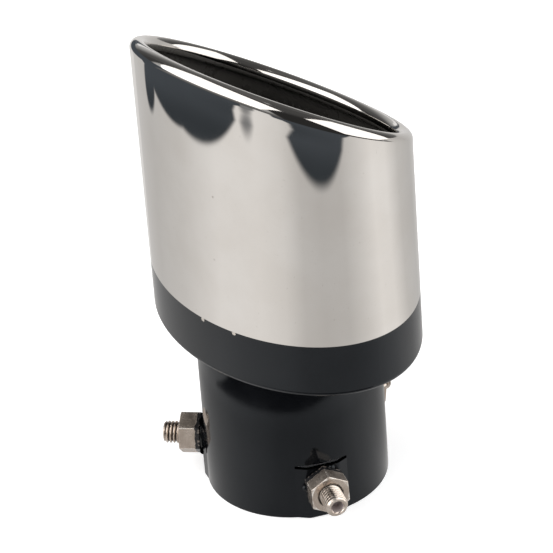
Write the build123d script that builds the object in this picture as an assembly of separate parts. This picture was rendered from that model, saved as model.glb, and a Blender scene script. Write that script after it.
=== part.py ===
"""Oval exhaust tip with a slanted rolled lip and a round inlet neck held by three clamp screws.

Millimetres. The origin is the centre of the neck's open lower end. Z runs along the neck to the
mouth, X is the oval's long axis and Y its short axis. The mouth is highest on the -Y side.
"""
import os
from math import atan2, cos, radians, sin, tan

from build123d import *

# Inlet neck, a round tube
NECK_RADIUS = 31.5
NECK_WALL = 1.5
NECK_LENGTH = 61.3
NECK_STAND_IN = 4.0
NECK_FIT = 0.1
NECK_WELD_LEG = 2.6

# Nut seats, pressed outward and flat between the neck's lower end and a short slit
SEAT_RISE = 0.7
SEAT_FLAT = 11.0
SEAT_WIDTH = 18.4
SEAT_HEIGHT = 19.7
SEAT_BEND_RADIUS = 3.0
SLIT_HEIGHT = 1.0
SEAT_HOLE_RADIUS = 4.5

# Clamp screws: hexagon socket set screws that point at the neck's axis
SCREW_ANGLES = (-15.0, 105.0, 230.0)
SCREW_HEIGHT = 13.0
SCREW_RADIUS = 3.9
SCREW_LENGTH = 16.0
SCREW_STANDOUTS = (7.7, 6.0, 6.0)
SCREW_END_CHAMFER = 0.7
SCREW_POINT_CHAMFER = 1.2
SOCKET_FLATS = 4.0
SOCKET_DEPTH = 4.5

# Nuts, with a round collar on the side of the seat
NUT_FLATS = 13.0
NUT_HEIGHT = 7.5
NUT_TURN_ANGLES = (-28.0, -22.0, -17.0)
NUT_FACE_RADIUS = 7.1
NUT_CHAMFER_ANGLE = 30.0
COLLAR_RADIUS = 5.9
COLLAR_HEIGHT = 0.5
THREAD_CLEARANCE = 0.06
BORE_CHAMFER = 0.35

# Tack welds at every second flat of a nut
TACK_RADIUS = 1.2
TACK_COUNT = 3

# Oval body: half axes of its outside and thickness of its sheet
OVAL_LONG = 58.0
OVAL_SHORT = 39.6
SHEET = 1.2
CUP_DEPTH = 19.4
CUP_FLOOR = 1.5
CUP_EDGE_RADIUS = 1.9
SLEEVE_LENGTH = 66.0

# Mouth: the angles of its slanted plane across the short and the long axis, and its rolled lip,
# where the sheet is gathered thicker
MOUTH_FALL = 29.2
MOUTH_RISE = 6.55
LIP_RADIUS = 2.74
LIP_PROUD = 0.15
LIP_WALL = 1.6

# What follows from the sizes above
CUP_TOP = NECK_LENGTH + CUP_DEPTH
MOUTH_HEIGHT = CUP_TOP + SLEEVE_LENGTH
SEAT_DISTANCE = NECK_RADIUS + SEAT_RISE
NUT_OUTER = SEAT_DISTANCE + COLLAR_HEIGHT + NUT_HEIGHT
NUT_BORE = SCREW_RADIUS + THREAD_CLEARANCE
HEXAGON_SIDES = 6
SIXTH = 360.0 / HEXAGON_SIDES
LIP_INSET = LIP_RADIUS - LIP_PROUD
BLANK_LENGTH = SLEEVE_LENGTH + 2 * OVAL_SHORT


def ring(outer, inner, height):
    """A tube's plan between two faces, pulled up to a height."""
    return extrude(outer - inner, height)


def oval(inset):
    return Ellipse(OVAL_LONG - inset, OVAL_SHORT - inset)


def radial_plane(angle, distance):
    """Plane across a screw's axis: its Z points outward and its Y is the neck's Z."""
    outward = Vector(cos(radians(angle)), sin(radians(angle)), 0)
    across = Vector(-outward.Y, outward.X, 0)
    origin = outward * distance + Vector(0, 0, SCREW_HEIGHT)
    return Plane(origin=origin, x_dir=across, z_dir=outward)


def seat_outline(angle):
    """Plan of one flattened seat, from well inside the neck to the seat's flat."""
    half = SEAT_WIDTH / 2
    foot = (NECK_RADIUS**2 - half**2) ** 0.5
    shoulder = SEAT_FLAT / 2
    corners = [(0, -half), (foot, -half), (SEAT_DISTANCE, -shoulder)]
    corners += [(x, -y) for x, y in reversed(corners)]
    plan = make_face(Polyline(*corners, close=True))
    bends = plan.vertices().filter_by(lambda v: v.X > foot + SEAT_RISE / 2)
    return Rot(0, 0, angle) * fillet(bends, SEAT_BEND_RADIUS)


def slit(angle):
    """The gap over a seat, through the neck's wall."""
    reach = 2 * (NECK_WALL + SEAT_RISE)
    cutter = Box(reach, SEAT_WIDTH, SLIT_HEIGHT, align=(Align.CENTER, Align.CENTER, Align.MIN))
    return Rot(0, 0, angle) * Pos(NECK_RADIUS - NECK_WALL, 0, SEAT_HEIGHT) * cutter


def seat_hole(angle):
    depth = 2 * (NECK_WALL + SEAT_RISE)
    return extrude(radial_plane(angle, SEAT_DISTANCE) * Circle(SEAT_HOLE_RADIUS), -depth)


def inlet_neck():
    """Round tube with three flattened seats, slits and screw holes near its lower end."""
    outline = Circle(NECK_RADIUS)
    for angle in SCREW_ANGLES:
        outline += seat_outline(angle)
    seated = ring(outline, offset(outline, -NECK_WALL, kind=Kind.INTERSECTION), SEAT_HEIGHT)
    upper_height = NECK_LENGTH + CUP_FLOOR + NECK_STAND_IN - SEAT_HEIGHT
    plain = ring(Circle(NECK_RADIUS), Circle(NECK_RADIUS - NECK_WALL), upper_height)
    neck = seated + Pos(0, 0, SEAT_HEIGHT) * plain
    for angle in SCREW_ANGLES:
        neck -= slit(angle)
        neck -= seat_hole(angle)
    return neck


def shoulder_cup():
    """Pressed oval cup: a flat floor with a round hole, a rounded edge and a straight wall."""
    outside = extrude(oval(0), CUP_DEPTH)
    outside = fillet(outside.edges().group_by(Axis.Z)[0], CUP_EDGE_RADIUS)
    inside = Pos(0, 0, CUP_FLOOR) * extrude(oval(SHEET), CUP_DEPTH - CUP_FLOOR)
    inside = fillet(inside.edges().group_by(Axis.Z)[0], CUP_EDGE_RADIUS - SHEET)
    hole = extrude(Circle(NECK_RADIUS + NECK_FIT), CUP_FLOOR)
    return Pos(0, 0, NECK_LENGTH) * (outside - inside - hole)


def neck_weld():
    """Fillet weld inside the cup, between its floor and the neck."""
    floor = NECK_LENGTH + CUP_FLOOR
    toe = NECK_RADIUS + NECK_WELD_LEG
    top = floor + NECK_WELD_LEG
    sag = NECK_WELD_LEG * (1 - 1 / 2**0.5)
    face = ThreePointArc((toe, floor), (NECK_RADIUS + sag, floor + sag), (NECK_RADIUS, top))
    sides = Polyline((NECK_RADIUS, top), (NECK_RADIUS, floor), (toe, floor))
    return revolve(Plane.XZ * make_face([face, sides]), Axis.Z)


def mouth_plane(inset):
    """Slanted plane whose height over the oval's outside is the lip's height at this inset."""
    rise = tan(radians(MOUTH_RISE)) * (1 - inset / OVAL_LONG)
    fall = tan(radians(MOUTH_FALL)) * (1 - inset / OVAL_SHORT)
    return Plane(origin=(0, 0, MOUTH_HEIGHT), x_dir=(1, 0, rise), z_dir=(-rise, fall, 1))


def lip_path():
    """Centre line of the lip: the ellipse where the mouth's plane cuts the drawn-in oval."""
    long_half, short_half = OVAL_LONG - LIP_INSET, OVAL_SHORT - LIP_INSET
    along = Vector(1, 0, tan(radians(MOUTH_RISE))) * long_half
    across = Vector(0, 1, -tan(radians(MOUTH_FALL))) * short_half
    turn = atan2(2 * along.dot(across), along.dot(along) - across.dot(across)) / 2
    major = along * cos(turn) + across * sin(turn)
    minor = across * cos(turn) - along * sin(turn)
    plane = Plane(origin=(0, 0, MOUTH_HEIGHT), x_dir=major, z_dir=major.cross(minor))
    return (plane * Ellipse(major.length, minor.length)).face().outer_wire()


def lip_tube(radius):
    path = lip_path()
    return sweep(Plane(origin=path @ 0, z_dir=path % 0) * Circle(radius), path=path)


def polished_sleeve():
    """Oval tube cut at a slant, its edge rolled inward into an open curl."""
    blank = ring(oval(0), oval(SHEET), BLANK_LENGTH)
    wall = split(Pos(0, 0, CUP_TOP) * blank, mouth_plane(LIP_INSET), keep=Keep.BOTTOM)
    under = Pos(0, 0, CUP_TOP) * ring(oval(SHEET), oval(LIP_INSET), BLANK_LENGTH)
    curl_gap = split(under, mouth_plane(0), keep=Keep.BOTTOM)
    curl = lip_tube(LIP_RADIUS) - lip_tube(LIP_RADIUS - LIP_WALL) - curl_gap
    return wall + curl


def clamp_nut(angle, turn):
    """Hexagon nut with a collar on its seat, its corners eased and its bore's mouths countersunk."""
    corner = NUT_FLATS / 2 / cos(radians(SIXTH / 2))
    hexagon = RegularPolygon(corner, HEXAGON_SIDES)
    body = extrude(hexagon, NUT_HEIGHT)
    ease = (corner - NUT_FACE_RADIUS) * tan(radians(NUT_CHAMFER_ANGLE))
    envelope = Cylinder(corner, NUT_HEIGHT, align=(Align.CENTER, Align.CENTER, Align.MIN))
    rims = envelope.edges().filter_by(GeomType.CIRCLE)
    envelope = chamfer(rims, ease, corner - NUT_FACE_RADIUS)
    nut = Rot(0, 0, turn) * (body & envelope)
    nut += Pos(0, 0, -COLLAR_HEIGHT) * extrude(Circle(COLLAR_RADIUS), COLLAR_HEIGHT)
    nut -= Pos(0, 0, -COLLAR_HEIGHT) * extrude(Circle(NUT_BORE), COLLAR_HEIGHT + NUT_HEIGHT)
    mouth = nut.edges().filter_by(GeomType.CIRCLE).group_by(Axis.Z)[-1].sort_by(SortBy.RADIUS)[0]
    nut = chamfer(mouth, BORE_CHAMFER)
    return radial_plane(angle, SEAT_DISTANCE + COLLAR_HEIGHT).location * nut


def nut_tacks(angle, turn, nut, neck):
    """Three small welds that fill the corner between a nut's flats and its seat."""
    plane = radial_plane(angle, SEAT_DISTANCE)
    tacks = []
    for tack in range(TACK_COUNT):
        along = radians(turn + 1.5 * SIXTH + tack * 360.0 / TACK_COUNT)
        place = Pos(NUT_FLATS / 2 * cos(along), NUT_FLATS / 2 * sin(along), 0)
        bead = plane.location * place * Sphere(TACK_RADIUS) - nut - neck
        tacks.append(max(bead.solids(), key=lambda s: s.volume))
    return Compound(tacks)


def clamp_screw(angle, standout):
    """Set screw with a hexagon socket in its outer end and a chamfered point."""
    shank = Cylinder(SCREW_RADIUS, SCREW_LENGTH, align=(Align.CENTER, Align.CENTER, Align.MAX))
    rims = shank.edges().filter_by(GeomType.CIRCLE).sort_by(Axis.Z)
    shank = chamfer(rims[0], SCREW_POINT_CHAMFER)
    outer_rim = shank.edges().filter_by(GeomType.CIRCLE).sort_by(Axis.Z)[-1]
    shank = chamfer(outer_rim, SCREW_END_CHAMFER)
    socket = RegularPolygon(SOCKET_FLATS / 2 / cos(radians(SIXTH / 2)), HEXAGON_SIDES)
    shank -= extrude(socket, -SOCKET_DEPTH)
    return radial_plane(angle, NUT_OUTER + standout).location * shank


def build():
    """Every piece of the tip under the name of its node."""
    neck = inlet_neck()
    pieces = {
        "polished_sleeve": polished_sleeve(),
        "shoulder_cup": shoulder_cup(),
        "inlet_neck": neck,
        "neck_weld": neck_weld(),
    }
    places = zip(SCREW_ANGLES, NUT_TURN_ANGLES, SCREW_STANDOUTS)
    for number, (angle, turn, standout) in enumerate(places, start=1):
        nut = clamp_nut(angle, turn)
        pieces[f"clamp_nut_{number}"] = nut
        pieces[f"nut_tacks_{number}"] = nut_tacks(angle, turn, nut, neck)
        pieces[f"clamp_screw_{number}"] = clamp_screw(angle, standout)
    return pieces


os.makedirs("parts", exist_ok=True)
for name, piece in build().items():
    export_step(piece, f"parts/{name}.step")
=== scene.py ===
"""Looks of the exhaust tip: camera, studio, sleeve, painted cup and neck, nuts and threaded set screws."""
from math import atan, cos, pi, radians, sin, sqrt, tan

import bmesh
import bpy
from mathutils import Matrix, Vector


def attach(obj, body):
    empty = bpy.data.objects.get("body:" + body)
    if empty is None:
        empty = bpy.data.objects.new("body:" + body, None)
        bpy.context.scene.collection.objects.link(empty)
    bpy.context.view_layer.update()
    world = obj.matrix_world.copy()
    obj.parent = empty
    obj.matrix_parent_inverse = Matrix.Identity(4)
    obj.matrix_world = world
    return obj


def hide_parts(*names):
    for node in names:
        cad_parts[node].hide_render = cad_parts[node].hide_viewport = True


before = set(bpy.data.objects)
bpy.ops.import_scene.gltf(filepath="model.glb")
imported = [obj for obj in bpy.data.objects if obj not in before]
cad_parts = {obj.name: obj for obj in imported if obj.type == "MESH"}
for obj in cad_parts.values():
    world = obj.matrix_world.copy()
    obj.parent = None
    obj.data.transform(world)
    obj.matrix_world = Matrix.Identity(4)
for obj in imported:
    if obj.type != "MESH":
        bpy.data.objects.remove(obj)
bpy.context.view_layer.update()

MM = 0.001

# Sizes of the oval sleeve and its rolled lip, in metres; its slopes, and angles round the roll
OVAL_LONG = 58.0 * MM
OVAL_SHORT = 39.6 * MM
SHEET = 1.2 * MM
CUP_TOP = 80.7 * MM
MOUTH_HEIGHT = 146.7 * MM
RISE = tan(radians(6.55))
FALL = tan(radians(29.2))
LIP_RADIUS = 2.74 * MM
LIP_WALL = 1.6 * MM
ROLL_END = radians(228.0)
HOLLOW_END = radians(40.0)
BARE_END = radians(170.0)

# Sizes of the neck's seats, nuts and set screws, in metres, and their angles in degrees
NECK_RADIUS = 31.5 * MM
# From this height up, shade is painted near black on the third nut's seat
SEAT_SHADE_FROM = 3.9 * MM
SLIT_LOW = 19.7 * MM
SLIT_HIGH = 20.7 * MM
SCREW_ANGLES = (-15.0, 105.0, 230.0)
SCREW_STANDOUTS = (7.7 * MM, 6.0 * MM, 6.0 * MM)
SCREW_HEIGHT = 13.0 * MM
SCREW_LENGTH = 16.0 * MM
SCREW_RADIUS = 3.9 * MM
THREAD_ROOT = 3.22 * MM
THREAD_PITCH = 1.25 * MM
SCREW_END_CHAMFER = 0.7 * MM
SCREW_POINT_CHAMFER = 1.2 * MM
SOCKET_FLATS = 4.0 * MM
SOCKET_DEPTH = 4.5 * MM
NUT_TURNS = (-28.0, -22.0, -17.0)
NUT_FLATS = 13.0 * MM
NUT_INNER = 32.7 * MM
NUT_OUTER = 40.2 * MM
NUT_FACE_RADIUS = 7.1 * MM
NUT_CORNER = 7.37 * MM
NUT_EDGE = 0.24 * MM
NUT_BORE = 3.96 * MM
NUT_PAINT_ENDS = (34.9 * MM, 34.4 * MM, 34.4 * MM)
BORE_CHAMFER = 0.35 * MM
COLLAR_RADIUS = 5.9 * MM
COLLAR_HEIGHT = 0.5 * MM

# Spots of wear: place, radius and raggedness in millimetres
SLEEVE_MARKS = (((22.4, -36.5, 129.8), 0.45, 0.5), ((20.6, -37.0, 106.0), 0.35, 0.5))
RIM_CHIPS = (((12.1, -38.7, 80.3), 0.75, 0.7), ((26.3, -35.3, 80.3), 0.62, 0.6))

# Colours as linear red, green and blue
WHITE = (1.0, 1.0, 1.0, 1.0)
STEEL_DIM = (0.665, 0.635, 0.600)
STEEL_BRIGHT = (0.705, 0.680, 0.650)
STEEL_SPECK = (0.40, 0.37, 0.34)
STEEL_MARK = (0.30, 0.27, 0.24)
PAINT_DARK = (0.0027, 0.0030, 0.0037)
PAINT_LIGHT = (0.0050, 0.0054, 0.0064)
PAINT_DUST = (0.13, 0.13, 0.13)
# Near black that paints shade in the slits and on the third nut's seat
PAINTED_SHADE_BLACK = (0.0015, 0.0015, 0.0015)
PAINT_GLOSS = (0.86, 0.93, 1.0, 1.0)
CHIP_METAL = (0.66, 0.61, 0.55)
INSIDE_DARK = (0.010, 0.010, 0.010)
INSIDE_LIGHT = (0.022, 0.021, 0.019)
INSIDE_DUST = (0.10, 0.09, 0.08)
# Paler tone that paints light on the inside of the sleeve near the mouth
INSIDE_PAINTED_LIGHT = (0.095, 0.090, 0.083)
NICKEL_PIT = (0.30, 0.24, 0.19)
NUT_FRESH = (0.64, 0.55, 0.475)
NUT_WORN = (0.50, 0.42, 0.355)
# Dark tone that paints shade round the nuts' bores
NUT_BORE_SHADE = (0.055, 0.045, 0.036)
NUT_PAINT = (0.011, 0.011, 0.012)
# Pale tone that paints highlights on the nuts' edges
NUT_PAINTED_HIGHLIGHT = (0.95, 0.90, 0.84)
SCREW_FRESH = (0.86, 0.77, 0.69)
SCREW_WORN = (0.62, 0.53, 0.455)
# Dark tone that paints shade in the roots of the screws' thread
SCREW_ROOT_SHADE = (0.05, 0.04, 0.033)
# Pale grey that paints light in the screws' sockets
SCREW_SOCKET_LIGHT = (0.46, 0.40, 0.39)
SKY_LIGHT = (0.96, 0.98, 1.0, 1.0)
FLOOR_WHITE = (0.86, 0.86, 0.86, 1.0)
PAPER = (0.905, 0.892, 0.88)
CLOTH_NEAR = (0.046, 0.054, 0.063)
CLOTH_FAR = (0.072, 0.083, 0.097)
# Dark tone of a patch of painted shade on the paper, seen only in reflections
PATCH_SHADE = (0.014, 0.017, 0.021)

# Height that the studio is centred on, in metres
STUDIO_HEIGHT = 0.1


def new_piece(name, verts, faces, looks, smooth=True):
    mesh = bpy.data.meshes.new(name)
    mesh.from_pydata([tuple(v) for v in verts], [], faces)
    mesh.update()
    if smooth:
        mesh.polygons.foreach_set("use_smooth", [True] * len(mesh.polygons))
    obj = bpy.data.objects.new(name, mesh)
    bpy.context.scene.collection.objects.link(obj)
    for look in looks:
        mesh.materials.append(look)
    return obj


def face_outward(obj, sharp_angle):
    """Turn every face outward and keep the edges that bend more than the angle crisp."""
    work = bmesh.new()
    work.from_mesh(obj.data)
    bmesh.ops.recalc_face_normals(work, faces=work.faces)
    work.to_mesh(obj.data)
    work.free()
    obj.data.set_sharp_from_angle(angle=radians(sharp_angle))


def dress(name, look):
    """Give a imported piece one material."""
    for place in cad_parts[name].material_slots:
        place.material = look


# Camera

def make_camera():
    """The photo's camera: it looks at the aim with this lift, swing and roll, from a reach in metres."""
    lift, swing, roll, reach = radians(30.29), radians(29.61), -0.0768, 1.0726
    sensor_width, lens = 36.0, 207.49
    nearest, farthest = 0.05, 50.0
    aim = Vector((-1.2046, -2.1195, 76.854)) * MM
    back = Vector((cos(lift) * cos(swing), -cos(lift) * sin(swing), sin(lift)))
    level_right = Vector((sin(swing), cos(swing), 0))
    level_up = Vector((-sin(lift) * cos(swing), sin(lift) * sin(swing), cos(lift)))
    right = level_right * cos(roll) + level_up * sin(roll)
    up = level_up * cos(roll) - level_right * sin(roll)
    data = bpy.data.cameras.new("photo_camera")
    data.sensor_fit, data.sensor_width, data.lens = "HORIZONTAL", sensor_width, lens
    data.clip_start, data.clip_end = nearest, farthest
    obj = bpy.data.objects.new("photo_camera", data)
    bpy.context.scene.collection.objects.link(obj)
    turn = Matrix((right, up, back)).transposed().to_4x4()
    obj.matrix_world = Matrix.Translation(aim + back * reach) @ turn
    bpy.context.scene.camera = obj


# Helpers for materials

class Tree:
    """Short hand for a node tree: makes nodes and links them."""

    def __init__(self, owner):
        owner.use_nodes = True
        self.tree = owner.node_tree
        self.tree.nodes.clear()

    def node(self, kind, **sets):
        made = self.tree.nodes.new(kind)
        for key, value in sets.items():
            setattr(made, key, value)
        return made

    def link(self, out, into):
        self.tree.links.new(out, into)

    def put(self, value, into):
        if isinstance(value, bpy.types.NodeSocket):
            self.link(value, into)
        else:
            into.default_value = value

    def filled(self, made, *values):
        """The first output of a node whose inputs take the values in their order."""
        for value, into in zip(values, made.inputs):
            self.put(value, into)
        return made.outputs[0]

    def math(self, operation, a, b=0.0):
        return self.filled(self.node("ShaderNodeMath", operation=operation), a, b)

    def add(self, a, b):
        return self.math("ADD", a, b)

    def less(self, a, b):
        return self.math("SUBTRACT", a, b)

    def times(self, a, b):
        return self.math("MULTIPLY", a, b)

    def most(self, a, b):
        return self.math("MAXIMUM", a, b)

    def length(self, *parts):
        total = 0.0
        for part in parts:
            total = self.add(total, self.times(part, part))
        return self.math("SQRT", total)

    def step(self, value, low, high, a=0.0, b=1.0):
        """Passes softly from a to b while the value goes from low to high."""
        made = self.node("ShaderNodeMapRange", interpolation_type="SMOOTHSTEP")
        return self.filled(made, value, low, high, a, b)

    def over(self, value, edge, soft):
        """1 above the edge and 0 below it."""
        return self.step(value, edge - soft, edge + soft)

    def under(self, value, edge, soft):
        """1 below the edge and 0 above it."""
        return self.step(value, edge - soft, edge + soft, 1.0, 0.0)

    def band(self, value, low, high, soft):
        """1 between two edges."""
        return self.times(self.over(value, low, soft), self.under(value, high, soft))

    def ramp(self, value, stops):
        made = self.node("ShaderNodeValToRGB")
        elements = made.color_ramp.elements
        while len(elements) < len(stops):
            elements.new(0.5)
        for element, (place, tone) in zip(elements, stops):
            element.position = place
            element.color = (*tone, 1.0)
        return self.filled(made, value)

    def mix(self, factor, a, b):
        made = self.node("ShaderNodeMix", data_type="RGBA")
        self.put(factor, made.inputs[0])
        for value, into in ((a, made.inputs[6]), (b, made.inputs[7])):
            self.put(value if isinstance(value, bpy.types.NodeSocket) else (*value, 1.0), into)
        return made.outputs[2]

    def noise(self, where, scale, detail=2.0, rough=0.5):
        made = self.node("ShaderNodeTexNoise")
        self.link(where, made.inputs["Vector"])
        made.inputs["Scale"].default_value = scale
        made.inputs["Detail"].default_value = detail
        made.inputs["Roughness"].default_value = rough
        return made.outputs[0]

    def wander(self, where, scale, detail, reach):
        """Noise to either side of zero, for ragged edges."""
        return self.times(self.less(self.noise(where, scale, detail), 0.5), reach)

    def stretched(self, where, scale):
        made = self.node("ShaderNodeMapping")
        self.link(where, made.inputs[0])
        made.inputs["Scale"].default_value = scale
        return made.outputs[0]

    def place(self):
        return self.node("ShaderNodeTexCoord").outputs["Object"]

    def axes(self, place):
        made = self.node("ShaderNodeSeparateXYZ")
        self.link(place, made.inputs[0])
        return made.outputs[0], made.outputs[1], made.outputs[2]

    def near(self, place, point, radius, ragged, scale):
        """1 within a ragged spot round a point, given in millimetres."""
        parts = [self.less(one, at * MM) for one, at in zip(self.axes(place), point)]
        away = self.add(self.length(*parts), self.wander(place, scale, 3.0, ragged * 2 * MM))
        return self.under(away, radius * MM, 0.08 * MM)

    def spots(self, place, listed, scale):
        """1 within any of the listed spots."""
        found = 0.0
        for point, radius, ragged in listed:
            found = self.most(found, self.near(place, point, radius, ragged, scale))
        return found

    def bump(self, height, strength, distance, below=None):
        made = self.node("ShaderNodeBump")
        made.inputs["Strength"].default_value = strength
        made.inputs["Distance"].default_value = distance
        self.link(height, made.inputs["Height"])
        if below is not None:
            self.link(below, made.inputs["Normal"])
        return made.outputs[0]

    def surface(self, shader):
        self.link(shader, self.node("ShaderNodeOutputMaterial").inputs[0])

    def principled(self, **sets):
        made = self.node("ShaderNodeBsdfPrincipled")
        for key, value in sets.items():
            self.put(value, made.inputs[key.replace("_", " ")])
        self.surface(made.outputs[0])

    def glow(self, tone, strength=1.0):
        return self.filled(self.node("ShaderNodeEmission"), tone, strength)

    def background(self, tone, strength):
        return self.filled(self.node("ShaderNodeBackground"), tone, strength)

    def mix_shaders(self, factor, a, b):
        return self.filled(self.node("ShaderNodeMixShader"), factor, a, b)


def new_look(name):
    """A new material, its node tree, and the place of each surface point."""
    material = bpy.data.materials.new(name)
    t = Tree(material)
    return material, t, t.place()


def above_mouth(t, place):
    """Height over the slanted plane that the centre of the lip's roll lies in."""
    x, y, z = t.axes(place)
    plane = t.add(t.times(x, RISE), t.add(t.times(y, -FALL), MOUTH_HEIGHT))
    return t.less(z, plane)


def screw_axes(t, place, angle):
    """How far out along a screw's axis, and how far from that axis, a surface point lies."""
    x, y, z = t.axes(place)
    out, side = radians(angle), radians(angle + 90.0)
    along = t.add(t.times(x, cos(out)), t.times(y, sin(out)))
    across = t.add(t.times(x, cos(side)), t.times(y, sin(side)))
    return along, t.length(across, t.less(z, SCREW_HEIGHT))


# Materials

def polished_steel():
    """Drawn and polished stainless sheet: faint waves, fine streaks up the wall, dull specks, two marks."""
    material, t, place = new_look("polished_steel_look")
    streaks = t.noise(t.stretched(place, (1.0, 1.0, 0.03)), 900.0, 3.0, 0.6)
    waves = t.noise(t.stretched(place, (1.0, 1.0, 0.35)), 26.0, 1.0)
    clouds = t.noise(place, 38.0, 4.0)
    specks = t.noise(place, 1500.0, 1.0)
    tone = t.mix(t.step(clouds, 0.35, 0.7), STEEL_DIM, STEEL_BRIGHT)
    tone = t.mix(t.step(specks, 0.74, 0.80, 0.0, 0.35), tone, STEEL_SPECK)
    tone = t.mix(t.times(t.spots(place, SLEEVE_MARKS, 1400.0), 0.45), tone, STEEL_MARK)
    on_roll = t.step(above_mouth(t, place), -0.3 * MM, 0.9 * MM, 0.0, 0.055)
    rough = t.add(t.step(clouds, 0.3, 0.75, 0.012, 0.03), t.times(streaks, 0.02))
    normal = t.bump(streaks, 0.03, 0.01 * MM, t.bump(waves, 0.35, 0.10 * MM))
    t.principled(Base_Color=tone, Metallic=1.0, Roughness=t.add(rough, on_roll), Normal=normal)
    return material


def painted_shade_places(t, place):
    """1 where shade is painted near black: on the level faces of the slits, and on the third nut's seat from
    a few millimetres up.
    """
    z = t.axes(place)[2]
    upright = t.axes(t.node("ShaderNodeNewGeometry").outputs["True Normal"])[2]
    level_face = t.over(t.times(upright, upright), 0.65, 0.15)
    in_slit = t.times(t.band(z, SLIT_LOW - 0.06 * MM, SLIT_HIGH + 0.06 * MM, 0.04 * MM), level_face)
    along = screw_axes(t, place, SCREW_ANGLES[2])[0]
    proud = t.over(along, NECK_RADIUS + 0.35 * MM, 0.1 * MM)
    seat_rows = t.times(t.over(z, SEAT_SHADE_FROM, 0.1 * MM), t.under(z, SLIT_HIGH + 0.05 * MM, 0.05 * MM))
    return t.most(in_slit, t.times(proud, seat_rows))


def outside_paint():
    """Glossy black paint, chipped at the cup's rim, with shade painted near black and rough in the slits and
    on the third nut's seat.
    """
    material, t, place = new_look("black_paint_look")
    peel = t.noise(place, 620.0, 2.0)
    clouds = t.noise(place, 45.0, 4.0, 0.6)
    dust = t.noise(place, 2300.0, 2.0)
    painted_shade = painted_shade_places(t, place)
    chips = t.spots(place, RIM_CHIPS, 1300.0)
    tone = t.mix(t.step(clouds, 0.3, 0.72), PAINT_DARK, PAINT_LIGHT)
    tone = t.mix(t.step(dust, 0.70, 0.78, 0.0, 0.08), tone, PAINT_DUST)
    # Painted shade: the slits and the third nut's seat are made near black, metallic and rough
    tone = t.mix(chips, t.mix(painted_shade, tone, PAINTED_SHADE_BLACK), CHIP_METAL)
    rough = t.most(t.step(clouds, 0.25, 0.8, 0.07, 0.13), t.times(painted_shade, 0.8))
    rough = t.most(rough, t.times(chips, 0.3))
    t.principled(Base_Color=tone, Metallic=t.most(chips, painted_shade), Roughness=rough,
                 Normal=t.bump(peel, 0.10, 0.03 * MM), IOR=1.385, Specular_Tint=PAINT_GLOSS)
    return material


def inside_paint():
    """The paint inside the sleeve, a little dusty, with light painted on it as a paler band towards the
    mouth.
    """
    material, t, place = new_look("inside_paint_look")
    clouds = t.noise(place, 60.0, 5.0, 0.65)
    dust = t.noise(place, 1900.0, 3.0)
    tone = t.mix(t.step(clouds, 0.35, 0.72), INSIDE_DARK, INSIDE_LIGHT)
    tone = t.mix(t.step(dust, 0.62, 0.74, 0.0, 0.25), tone, INSIDE_DUST)
    # Painted light: the inside turns paler within a ragged band below the mouth, where light falls in
    ragged = t.times(t.less(clouds, 0.5), 8.0 * MM)
    painted_light_near_mouth = t.step(t.add(above_mouth(t, place), ragged), -15.0 * MM, -3.0 * MM)
    tone = t.mix(painted_light_near_mouth, tone, INSIDE_PAINTED_LIGHT)
    rough = t.step(clouds, 0.25, 0.8, 0.22, 0.36)
    t.principled(Base_Color=tone, Roughness=rough, Normal=t.bump(dust, 0.15, 0.04 * MM), IOR=1.43)
    return material


def nickel(t, place, fresh, worn):
    """Colour, roughness and surface of pitted nickel plate."""
    clouds = t.noise(place, 260.0, 4.0, 0.6)
    grain = t.noise(place, 2600.0, 2.0)
    tone = t.mix(t.step(clouds, 0.30, 0.68), worn, fresh)
    tone = t.mix(t.step(grain, 0.60, 0.76, 0.0, 0.45), tone, NICKEL_PIT)
    rough = t.step(clouds, 0.25, 0.75, 0.16, 0.30)
    return tone, rough, t.bump(grain, 0.20, 0.03 * MM)


def nut_look(number, angle):
    """Warm nickel, painted black next to the seat, with painted shade round the bore and painted highlights
    on its edges.
    """
    material, t, place = new_look(f"plated_nut_look_{number}")
    along, away = screw_axes(t, place, angle)
    tone, rough, normal = nickel(t, place, NUT_FRESH, NUT_WORN)
    ragged = t.wander(place, 420.0, 3.0, 2.0 * MM)
    outer_part = t.over(away, 6.4 * MM, 0.1 * MM)
    bare = t.over(t.add(along, ragged), NUT_PAINT_ENDS[number - 1], 0.2 * MM)
    specks = t.step(t.noise(place, 950.0, 2.0), 0.56, 0.60, 0.0, 0.35)
    rear_rim = t.times(t.under(along, NUT_INNER + 0.85 * MM, 0.15 * MM), outer_part)
    bare = t.most(bare, t.times(specks, rear_rim))
    # Painted shade in the countersink and just round it
    bore_shade = t.times(t.under(t.add(away, t.times(ragged, 0.7)), 4.6 * MM, 0.25 * MM), 0.85)
    tone = t.mix(bare, NUT_PAINT, t.mix(bore_shade, tone, NUT_BORE_SHADE))
    # Painted highlights on the corners and round the outer face's rim, broken up by noise; they also lower
    # the metalness there
    corners = t.times(t.over(away, NUT_CORNER, 0.05 * MM), 0.6)
    face_rim = t.times(t.over(along, NUT_OUTER - 0.12 * MM, 0.05 * MM), outer_part)
    highlight_breaks = t.step(t.noise(place, 700.0, 3.0), 0.38, 0.62, 0.25, 1.0)
    painted_highlight = t.times(t.times(t.most(corners, face_rim), bare), highlight_breaks)
    tone = t.mix(painted_highlight, tone, NUT_PAINTED_HIGHLIGHT)
    metal = t.times(bare, t.less(0.86, t.times(painted_highlight, 0.35)))
    t.principled(Base_Color=tone, Metallic=metal, Roughness=rough, Normal=normal)
    return material


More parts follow.
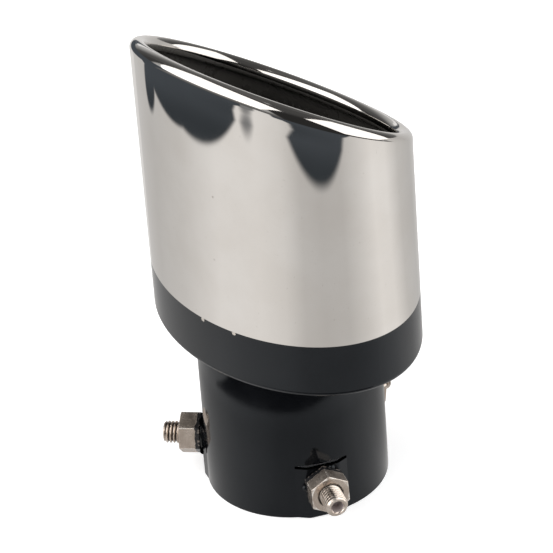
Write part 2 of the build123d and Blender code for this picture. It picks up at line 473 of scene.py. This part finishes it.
def screw_look(number, angle):
    """Bright nickel on the crests of the thread, with painted shade in its roots and painted light, a pale
    matt grey, in the socket.
    """
    material, t, place = new_look(f"plated_screw_look_{number}")
    along, away = screw_axes(t, place, angle)
    end = NUT_OUTER + SCREW_STANDOUTS[number - 1]
    tone, rough, normal = nickel(t, place, SCREW_FRESH, SCREW_WORN)
    # Painted shade: the thread's roots are darkened, though not on the flat end
    out_of_root = t.step(away, THREAD_ROOT, THREAD_ROOT + 0.55 * MM, 0.05, 1.0)
    flat_end = t.over(along, end - 0.7 * MM, 0.2 * MM)
    tone = t.mix(t.most(out_of_root, flat_end), SCREW_ROOT_SHADE, tone)
    # Painted light: the socket is a pale grey that is hardly metallic
    socket = t.times(t.under(away, 2.33 * MM, 0.03 * MM), t.under(along, end - 0.35 * MM, 0.25 * MM))
    tone = t.mix(socket, tone, SCREW_SOCKET_LIGHT)
    metal = t.less(1.0, t.times(socket, 0.9))
    t.principled(Base_Color=tone, Metallic=metal, Roughness=rough, Normal=normal)
    return material


# The sleeve

def oval_point(turn, inset, height=0.0):
    return Vector((cos(turn) * (OVAL_LONG - inset), sin(turn) * (OVAL_SHORT - inset), height))


def lip_frame(turn):
    """Centre of the roll, and its outward and upward directions, at one place round the mouth."""
    centre = oval_point(turn, LIP_RADIUS)
    centre.z = MOUTH_HEIGHT + RISE * centre.x - FALL * centre.y
    run = Vector((-sin(turn) * (OVAL_LONG - LIP_RADIUS), cos(turn) * (OVAL_SHORT - LIP_RADIUS), 0.0))
    run.z = RISE * run.x - FALL * run.y
    run.normalize()
    outward = Vector((cos(turn) / (OVAL_LONG - LIP_RADIUS), sin(turn) / (OVAL_SHORT - LIP_RADIUS), 0.0))
    outward = (outward - run * outward.dot(run)).normalized()
    upward = run.cross(outward)
    return centre, outward, upward if upward.z > 0 else -upward


def sleeve_section(turn, rows, roll_steps):
    """Closed section at one place: up the outside, round the roll, back inside it and down the wall."""
    centre, outward, upward = lip_frame(turn)
    meet = centre + LIP_RADIUS * outward
    foot = oval_point(turn, 0.0, CUP_TOP)
    top = oval_point(turn, 0.0, meet.z)
    just_below = 0.985
    section = [foot.lerp(top, i / rows) for i in range(rows)]
    section += [foot.lerp(meet, just_below), meet]

    def on_roll(radius, angle):
        return centre + radius * (outward * cos(angle) + upward * sin(angle))

    section += [on_roll(LIP_RADIUS, ROLL_END * i / roll_steps) for i in range(1, roll_steps + 1)]
    back_steps, inside_rows = roll_steps // 2, 8
    for i in range(back_steps + 1):
        angle = ROLL_END + (HOLLOW_END - ROLL_END) * i / back_steps
        section.append(on_roll(LIP_RADIUS - LIP_WALL, angle))
    inner_top = oval_point(turn, SHEET, centre.z - 0.2 * MM)
    inner_foot = oval_point(turn, SHEET, CUP_TOP)
    section += [inner_top.lerp(inner_foot, i / inside_rows) for i in range(inside_rows + 1)]
    return section


def make_sleeve(steel, black):
    """Skin of the sleeve and its rolled lip, steel outside and painted from inside the roll down."""
    around, rows, roll_steps = 540, 26, 44
    verts = []
    for k in range(around):
        section = sleeve_section(2 * pi * k / around, rows, roll_steps)
        verts.extend(section)
    faces, tones = [], []
    painted_from = rows + 2 + round(roll_steps * BARE_END / ROLL_END)
    count = len(section)
    for k in range(around):
        a, b = k * count, (k + 1) % around * count
        for i in range(count):
            j = (i + 1) % count
            faces.append((a + i, b + i, b + j, a + j))
            tones.append(0 if i <= painted_from else 1)
    obj = new_piece("sleeve_skin", verts, faces, [steel, black])
    obj.data.polygons.foreach_set("material_index", tones)
    obj.data.set_sharp_from_angle(angle=radians(40.0))
    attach(obj, "tip")
    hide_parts("polished_sleeve")


# Nuts and set screws

def turned_mesh(name, angle, turns, rings, look, joined):
    """Skin through rings of (distance, radius) pairs round a screw's axis, in a loop or with closed ends."""
    outward = Vector((cos(radians(angle)), sin(radians(angle)), 0.0))
    across = Vector((-outward.y, outward.x, 0.0))
    axis_height = Vector((0.0, 0.0, SCREW_HEIGHT))
    verts = []
    for ring in rings:
        for turn, (distance, radius) in zip(turns, ring):
            spoke = across * cos(turn) + Vector((0.0, 0.0, sin(turn)))
            verts.append(outward * distance + spoke * radius + axis_height)
    wide, count = len(turns), len(rings)
    faces = []
    for i in range(count if joined else count - 1):
        a, b = i * wide, (i + 1) % count * wide
        for j in range(wide):
            k = (j + 1) % wide
            faces.append((a + j, a + k, b + k, b + j))
    if not joined:
        faces.append(tuple(range(wide)))
        faces.append(tuple(range((count - 1) * wide, count * wide)))
    obj = new_piece(name, verts, faces, [look])
    face_outward(obj, 38.0)
    return obj


def hexagon_reach(turn, flats, ease):
    """Distance from a hexagon's centre to its side, its corners eased by a small radius."""
    half = flats / 2
    off = (turn % (pi / 3)) - pi / 6
    heart = (half - ease) / cos(pi / 6)
    touch = atan(heart * sin(pi / 6) / half)
    if abs(off) <= touch:
        return half / cos(off)
    from_corner = pi / 6 - abs(off)
    return heart * cos(from_corner) + sqrt(ease**2 - (heart * sin(from_corner)) ** 2)


def hexagon_turns(flat_steps, corner_steps, ease_angle):
    """Directions round a hexagon, closer together at its corners."""
    turns = []
    flat_angle = pi / 3 - 2 * ease_angle
    for side in range(6):
        start = side * pi / 3
        turns += [start + ease_angle * i / corner_steps for i in range(corner_steps)]
        turns += [start + ease_angle + flat_angle * i / flat_steps for i in range(flat_steps)]
        turns += [start + pi / 3 - ease_angle + ease_angle * i / corner_steps for i in range(corner_steps)]
    return turns


def make_nut(number, angle, turn, look):
    """Hexagon nut with eased corners and edges, a countersunk bore and a collar on its seat."""
    local = hexagon_turns(14, 4, radians(2.4))
    reaches = [hexagon_reach(a, NUT_FLATS, NUT_EDGE) for a in local]
    chamfer_slope = tan(radians(30.0))
    rounding = [0.0, 0.06, 0.16, 0.30, 0.48, 0.70, 1.0, 1.3, 1.8]

    def hexagon_ring(distance, depth):
        """One ring of the hexagon's skin, at a depth below the nearer end face."""
        dip = max(0.0, NUT_EDGE - depth)
        inset = NUT_EDGE - sqrt(NUT_EDGE**2 - dip**2)
        widest = NUT_FACE_RADIUS + depth / chamfer_slope
        return [(distance, min(reach, widest) - inset) for reach in reaches]

    def plain_ring(distance, radius):
        return [(distance, radius) for _ in local]

    seat = NUT_INNER - COLLAR_HEIGHT
    rings = [plain_ring(seat, NUT_BORE), plain_ring(seat, COLLAR_RADIUS)]
    rings.append(plain_ring(NUT_INNER, COLLAR_RADIUS))
    rings += [hexagon_ring(NUT_INNER + NUT_EDGE * share, NUT_EDGE * share) for share in rounding]
    rings += [hexagon_ring(NUT_OUTER - NUT_EDGE * share, NUT_EDGE * share) for share in reversed(rounding)]
    rings.append(plain_ring(NUT_OUTER, NUT_BORE + BORE_CHAMFER))
    rings.append(plain_ring(NUT_OUTER - BORE_CHAMFER, NUT_BORE))
    turns = [a + radians(turn) for a in local]
    obj = turned_mesh(f"nut_skin_{number}", angle, turns, rings, look, True)
    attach(obj, "tip")
    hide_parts(f"clamp_nut_{number}")


def thread_radius(depth, turn):
    """Radius of the thread at a depth from the screw's outer end: crest, flank, root and flank."""
    root_share, flank_share = 0.14, 0.70
    phase = (depth / THREAD_PITCH - turn / (2 * pi)) % 1.0
    rise = abs(phase - 0.5) * 2.0
    share = min(1.0, max(0.0, (rise - root_share) / flank_share))
    return THREAD_ROOT + (SCREW_RADIUS - THREAD_ROOT) * share


def make_screw(number, angle, standout, look):
    """Set screw with a helical thread, a chamfered point and a hexagon socket in its outer end."""
    around, rows_per_pitch = 72, 20
    socket_ease, socket_lead, socket_start = 0.02 * MM, 0.15 * MM, 0.35 * MM
    end = NUT_OUTER + standout
    turns = [2 * pi * k / around for k in range(around)]
    rows = int(SCREW_LENGTH / THREAD_PITCH * rows_per_pitch)

    def thread_ring(depth):
        from_end = SCREW_RADIUS - SCREW_END_CHAMFER + depth
        from_point = SCREW_RADIUS - SCREW_POINT_CHAMFER + SCREW_LENGTH - depth
        return [(end - depth, min(thread_radius(depth, turn), from_end, from_point)) for turn in turns]

    def plain_ring(depth, radius):
        return [(end - depth, radius) for _ in turns]

    def socket_ring(depth):
        return [(end - depth, hexagon_reach(turn, SOCKET_FLATS, socket_ease)) for turn in turns]

    rings = [thread_ring(SCREW_LENGTH * i / rows) for i in reversed(range(rows + 1))]
    mouth = SOCKET_FLATS / 2 / cos(pi / 6)
    rings += [plain_ring(0.0, mouth + 0.1 * MM), plain_ring(socket_lead, mouth - socket_ease)]
    rings += [socket_ring(socket_start), socket_ring(SOCKET_DEPTH)]
    obj = turned_mesh(f"screw_skin_{number}", angle, turns, rings, look, False)
    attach(obj, f"set_screw_{number}")
    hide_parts(f"clamp_screw_{number}")


# The studio

def make_world():
    """White where the camera and reflections see it, a plain level as light."""
    world = bpy.data.worlds.new("studio_world")
    bpy.context.scene.world = world
    t = Tree(world)
    path = t.node("ShaderNodeLightPath")
    seen = t.most(path.outputs["Is Camera Ray"], path.outputs["Is Glossy Ray"])
    seen = t.most(seen, path.outputs["Is Transmission Ray"])
    sky = t.mix_shaders(seen, t.background(SKY_LIGHT, 0.42), t.background(WHITE, 1.0))
    t.link(sky, t.node("ShaderNodeOutputWorld").inputs[0])


def make_floor():
    reach = 4.0
    corners = [(-reach, -reach, 0), (reach, -reach, 0), (reach, reach, 0), (-reach, reach, 0)]
    floor = new_piece("studio_floor", corners, [(0, 1, 2, 3)], [floor_look()], smooth=False)
    floor.location.z = -0.2 * MM


def beyond(t, x, y, start, end, soft):
    """1 on the far side of the line from start to end, seen from the object."""
    nx, ny = end[1] - start[1], start[0] - end[0]
    size = sqrt(nx * nx + ny * ny)
    nx, ny = nx / size, ny / size
    offset = nx * start[0] + ny * start[1]
    if offset < 0:
        nx, ny, offset = -nx, -ny, -offset
    return t.over(t.less(t.add(t.times(x, nx), t.times(y, ny)), offset), 0.0, soft)


def spot(t, x, y, centre, radius, soft):
    """1 within a round spot."""
    return t.under(t.length(t.less(x, centre[0]), t.less(y, centre[1])), radius, soft)


def dark_cloths(t, x, y):
    """1 on the dark cloths round the paper, whose reflections are the scallops under the lip."""
    left = t.most(beyond(t, x, y, (-0.290, -0.157), (-0.195, -0.242), 0.003),
                  beyond(t, x, y, (-0.200, -0.237), (0.0, -0.347), 0.004))
    left = t.times(left, t.under(x, 0.014, 0.010))
    left = t.most(left, spot(t, x, y, (-0.317, -0.126), 0.030, 0.005))
    right = t.times(beyond(t, x, y, (0.202, -0.269), (0.349, -0.009), 0.007), t.over(x, 0.170, 0.010))
    corner = t.times(beyond(t, x, y, (0.150, -0.319), (0.199, -0.290), 0.006), t.over(x, 0.145, 0.010))
    faint = t.times(spot(t, x, y, (0.030, -0.368), 0.040, 0.010), 0.8)
    return t.most(t.most(left, t.most(right, corner)), faint)


def painted_shade_patch(t, far, swing):
    """1 on a lens-shaped patch of painted shade on the paper, whose reflection is the dark crescent on the
    neck.
    """
    inner_rim = t.step(swing, radians(-30), radians(20), 0.0975, 0.1040)
    outer_rim = t.step(swing, radians(-126), radians(-72), 0.1000, 0.1310)
    soft = 0.0015
    past_inner = t.over(t.less(far, inner_rim), 0.0, soft)
    before_outer = t.over(t.less(outer_rim, far), 0.0, soft)
    past_start = t.over(swing, radians(-123), radians(3))
    before_end = t.under(swing, radians(11.5), radians(2.5))
    return t.times(t.times(past_inner, before_outer), t.times(past_start, before_end))


def paper_painted_light(t, swing):
    """Painted light on the paper, seen only in reflections: its brightness changes round the object, given
    as pairs of degrees and level.
    """
    levels = ((-180, 0.72), (-160, 0.69), (-135, 0.82), (-108, 1.07), (-80, 1.08), (-62, 0.97),
              (-47, 0.75), (-30, 0.70), (-8, 0.72), (12, 0.91), (32, 1.14), (52, 1.11),
              (75, 0.79), (105, 0.65), (135, 0.74), (165, 0.88))
    around = t.add(t.math("DIVIDE", swing, 2 * pi), 0.5)
    return t.ramp(around, [((at + 180) / 360, [level * part for part in PAPER]) for at, level in levels])


def floor_look():
    """White to the eye, with the object's shadow. Reflections see paper with painted light and shade, and
    dark cloths.
    """
    material, t, place = new_look("floor_look")
    x, y, _ = t.axes(place)
    path = t.node("ShaderNodeLightPath")
    far = t.length(x, y)
    swing = t.math("ARCTAN2", y, x)

    seen = t.most(path.outputs["Is Camera Ray"], path.outputs["Is Transmission Ray"])
    outside_neck = t.step(far, NECK_RADIUS - 1.5 * MM, NECK_RADIUS)
    lift = t.step(far, 0.45, 0.90, 0.5, 1.0)
    shade = t.filled(t.node("ShaderNodeBsdfDiffuse"), FLOOR_WHITE)
    glow = t.glow(WHITE, t.times(t.times(seen, outside_neck), lift))
    to_eye = t.filled(t.node("ShaderNodeAddShader"), shade, glow)

    cloth = t.mix(t.step(far, 0.318, 0.350), CLOTH_NEAR, CLOTH_FAR)
    # Painted light: the paper's brightness in reflections changes round the object
    paper_tone_and_light = t.mix(dark_cloths(t, x, y), paper_painted_light(t, swing), cloth)
    # Painted shade: a dark patch on the paper, seen only in reflections
    paper_tone_and_light = t.mix(painted_shade_patch(t, far, swing), paper_tone_and_light, PATCH_SHADE)
    # Painted shadow: in reflections the paper glows less within about 85 to 100 mm of the object's axis
    paper = t.glow(paper_tone_and_light, t.step(far, 0.085, 0.100, 0.78, 1.0))
    behind = t.less(y, t.times(x, 1.2))
    sheet_end = t.times(t.over(far, 0.380, 0.005), t.under(behind, 0.225, 0.025))
    clear = t.node("ShaderNodeBsdfTransparent").outputs[0]
    in_mirrors = t.mix_shaders(sheet_end, paper, clear)
    t.surface(t.mix_shaders(path.outputs["Is Glossy Ray"], to_eye, in_mirrors))
    return material


def between(value, stops):
    """Straight-line reading of a list of (place, amount)."""
    if value <= stops[0][0]:
        return stops[0][1]
    for (a, va), (b, vb) in zip(stops, stops[1:]):
        if value <= b:
            return va + (vb - va) * (value - a) / (b - a)
    return stops[-1][1]


def room_tone(swing, lift):
    """How bright the studio is in one direction, in degrees, apart from its softboxes."""
    low = between(swing, ((-180, 0.10), (-165, 0.055), (-62, 0.040), (-55, 0.030), (0, 0.032), (20, 0.06),
                          (85, 0.09), (100, 0.10), (118, 0.20), (140, 0.45), (150, 0.60), (165, 0.50),
                          (180, 0.10)))
    if -154 < swing < -61:
        low = between(lift, ((-30, 0.06), (-14, 0.22), (-4, 0.50), (30, 0.50)))
    high = between(swing, ((-180, 0.10), (-70, 0.10), (-30, 0.08), (110, 0.08), (150, 0.14), (180, 0.10)))
    share = between(lift, ((38, 0.0), (58, 0.75), (75, 1.0)))
    if swing > 118 or swing < -165:
        share = between(lift, ((8, 0.0), (22, 0.8), (40, 1.0)))
    return low + (high - low) * share


def make_room():
    """Walls of the studio, seen only in reflections, with a window to the white background."""
    radius, step = 3.0, 4
    window_swings, window_lifts = range(136, 164), range(-24, 4)
    swings, lifts = list(range(-180, 181, step)), list(range(-44, 89, step))
    verts, tones, faces = [], [], []
    for lift in lifts:
        for swing in swings:
            a, b = radians(swing), radians(lift)
            height = radius * sin(b) + STUDIO_HEIGHT
            verts.append((radius * cos(b) * cos(a), radius * cos(b) * sin(a), height))
            level = room_tone(swing, lift)
            tones.extend((level, level, level, 1.0))
    wide = len(swings)
    for i, lift in enumerate(lifts[:-1]):
        for j, swing in enumerate(swings[:-1]):
            if swing in window_swings and lift in window_lifts:
                continue
            a = i * wide + j
            faces.append((a, a + 1, a + wide + 1, a + wide))
    material, t, _ = new_look("room_look")
    t.surface(t.glow(t.node("ShaderNodeAttribute", attribute_name="tone").outputs["Color"]))
    obj = new_piece("studio_room", verts, faces, [material])
    obj.data.color_attributes.new("tone", "FLOAT_COLOR", "POINT").data.foreach_set("color", tones)
    obj.visible_camera = obj.visible_diffuse = obj.visible_shadow = obj.visible_transmission = False


def softbox(name, swing, lift, reach, wide, tall, power, tone):
    """Area lamp that faces the studio's centre."""
    data = bpy.data.lights.new(name, "AREA")
    data.shape, data.size, data.size_y = "RECTANGLE", wide, tall
    data.energy, data.color = power, tone
    obj = bpy.data.objects.new(name, data)
    bpy.context.scene.collection.objects.link(obj)
    swing, lift = radians(swing), radians(lift)
    towards = Vector((cos(lift) * cos(swing), cos(lift) * sin(swing), sin(lift)))
    obj.location = towards * reach + Vector((0, 0, STUDIO_HEIGHT))
    obj.rotation_euler = towards.to_track_quat("Z", "Y").to_euler()


def make_studio():
    make_world()
    make_floor()
    make_room()
    softbox("softbox_left", -107.0, 35.0, 1.2, 2.2, 1.90, 22.5, (1.0, 0.985, 0.97))
    softbox("softbox_right", 42.0, 22.0, 1.2, 2.1, 1.75, 19.0, (1.0, 0.99, 0.98))


def main():
    bpy.context.scene.view_settings.view_transform = "Standard"
    make_camera()
    steel, paint = polished_steel(), outside_paint()
    make_sleeve(steel, inside_paint())
    for number, angle in enumerate(SCREW_ANGLES, start=1):
        nut_metal, screw_metal = nut_look(number, angle), screw_look(number, angle)
        make_nut(number, angle, NUT_TURNS[number - 1], nut_metal)
        make_screw(number, angle, SCREW_STANDOUTS[number - 1], screw_metal)
        dress(f"clamp_nut_{number}", nut_metal)
        dress(f"clamp_screw_{number}", screw_metal)
        dress(f"nut_tacks_{number}", paint)
    dress("polished_sleeve", steel)
    for name in ("shoulder_cup", "inlet_neck", "neck_weld"):
        dress(name, paint)
    make_studio()


main()
